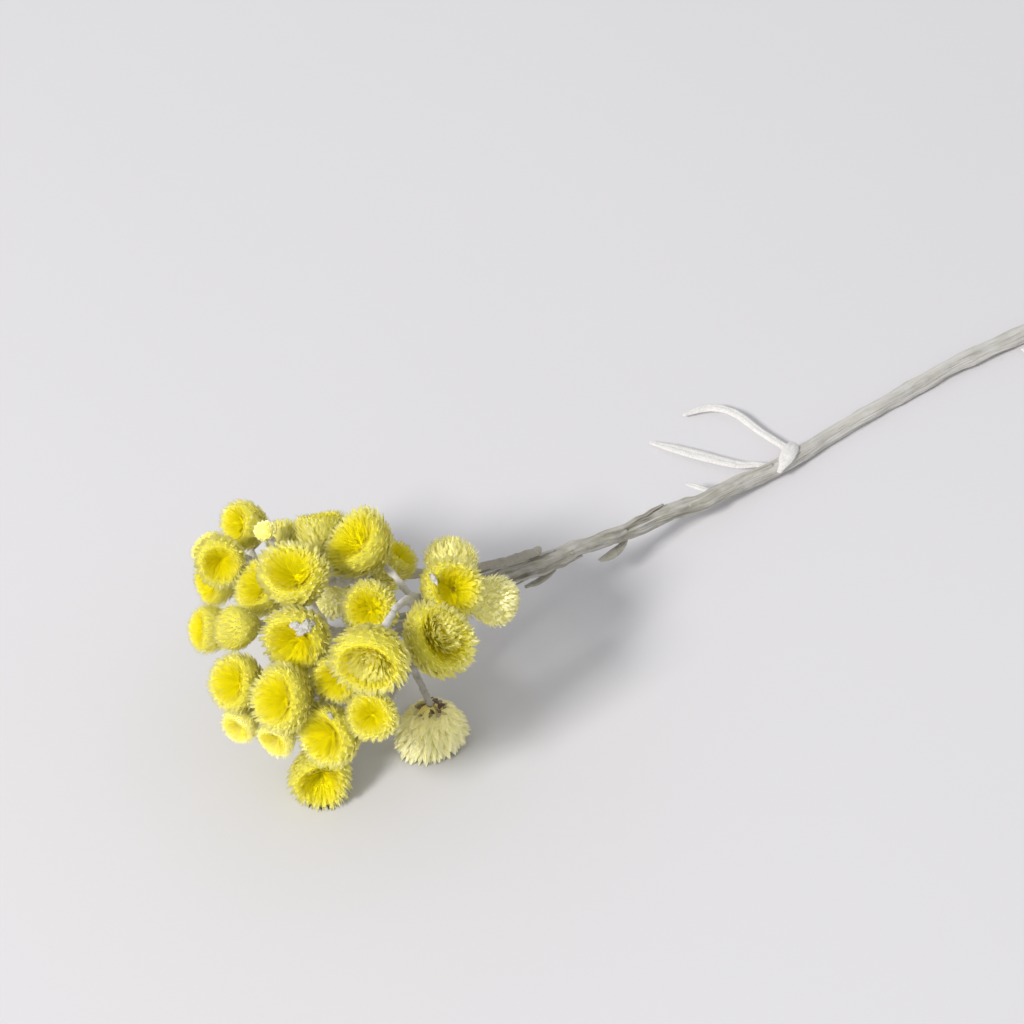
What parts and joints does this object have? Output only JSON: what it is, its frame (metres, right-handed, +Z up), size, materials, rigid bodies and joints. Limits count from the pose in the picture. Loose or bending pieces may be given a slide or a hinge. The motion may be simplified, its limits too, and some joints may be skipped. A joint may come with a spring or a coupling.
{
  "type": "dried strawflower sprig",
  "caption": "Dried sprig of yellow strawflower lying on its side: a woolly stem that branches into a dome of small papery flower heads, with a few narrow felted leaves.",
  "frame": {"origin": "middle of the sprig's bounding box, on the surface that it lies on", "axes": "+X along the stem towards its cut end, flowers towards -X, +Z up"},
  "size_m": [0.1972, 0.0464, 0.0368],
  "materials": {
    "woolly_stem": "grey-green stem under a thin coat of matted white wool",
    "flower_stalk": "thin stalk under white wool",
    "yellow_bracts": "dry papery bracts, satin, deep yellow in the middle and lemon at the tips",
    "pale_bracts": "dry papery bracts, satin, pale lemon",
    "felted_leaf": "narrow leaf under thick white felt"
  },
  "bodies": {
    "root": {"main_stem": "woolly_stem", "side_stem_1": "flower_stalk", "side_stem_2": "flower_stalk", "side_stem_3": "flower_stalk", "side_stem_4": "flower_stalk", "side_stem_5": "flower_stalk", "side_stem_6": "flower_stalk", "head_01": "yellow_bracts", "head_02": "pale_bracts", "head_03": "yellow_bracts", "head_04": "pale_bracts", "head_05": "yellow_bracts", "head_06": "yellow_bracts", "head_07": "yellow_bracts", "head_08": "pale_bracts", "head_09": "yellow_bracts", "head_10": "yellow_bracts", "head_11": "yellow_bracts", "head_12": "yellow_bracts", "head_13": "pale_bracts", "head_14": "yellow_bracts", "head_15": "yellow_bracts", "head_16": "pale_bracts", "head_17": "yellow_bracts", "head_18": "yellow_bracts", "head_19": "yellow_bracts", "head_20": "pale_bracts", "head_21": "yellow_bracts", "head_22": "yellow_bracts", "head_23": "yellow_bracts", "head_24": "yellow_bracts", "head_25": "yellow_bracts", "head_26": "yellow_bracts", "head_27": "yellow_bracts", "head_28": "pale_bracts", "head_29": "pale_bracts", "head_30": "yellow_bracts", "head_31": "yellow_bracts", "head_32": "yellow_bracts", "head_33": "yellow_bracts", "head_34": "yellow_bracts", "head_35": "yellow_bracts", "head_36": "yellow_bracts", "leaf_long_upper": "felted_leaf", "leaf_long_lower": "felted_leaf", "leaf_clasping": "felted_leaf", "leaf_stub": "felted_leaf", "leaf_hidden_base": "felted_leaf", "leaf_withered_upper": "felted_leaf", "leaf_withered_lower": "felted_leaf"}
  },
  "joints": []
}
